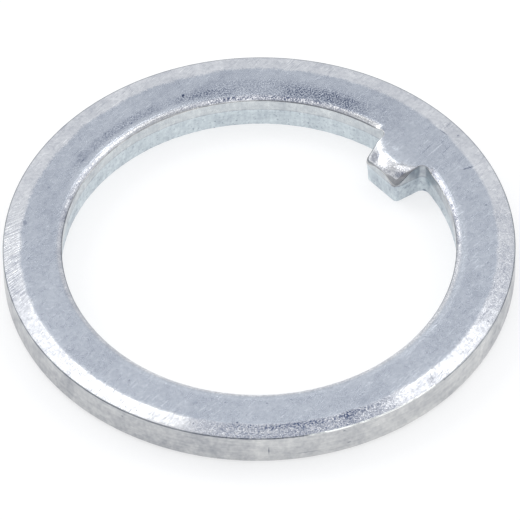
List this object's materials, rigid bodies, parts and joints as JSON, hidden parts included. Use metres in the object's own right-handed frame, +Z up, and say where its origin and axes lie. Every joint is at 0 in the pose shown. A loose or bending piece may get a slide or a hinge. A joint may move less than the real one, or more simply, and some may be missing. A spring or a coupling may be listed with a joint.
{
  "type": "retaining ring",
  "caption": "Flat zinc-plated steel ring with a shallow top bevel and one rounded locating lug standing into its bore.",
  "frame": {"origin": "centre of the ring at its underside", "axes": "+Z up out of the bevelled face, along the ring's axis; +X along the lug"},
  "size_m": [0.065, 0.065, 0.005],
  "materials": {
    "zinc_steel": "bright zinc plate on a pressed and deburred steel plate, lightly scratched and pitted"
  },
  "bodies": {
    "root": {"ring": "zinc_steel"}
  },
  "joints": []
}
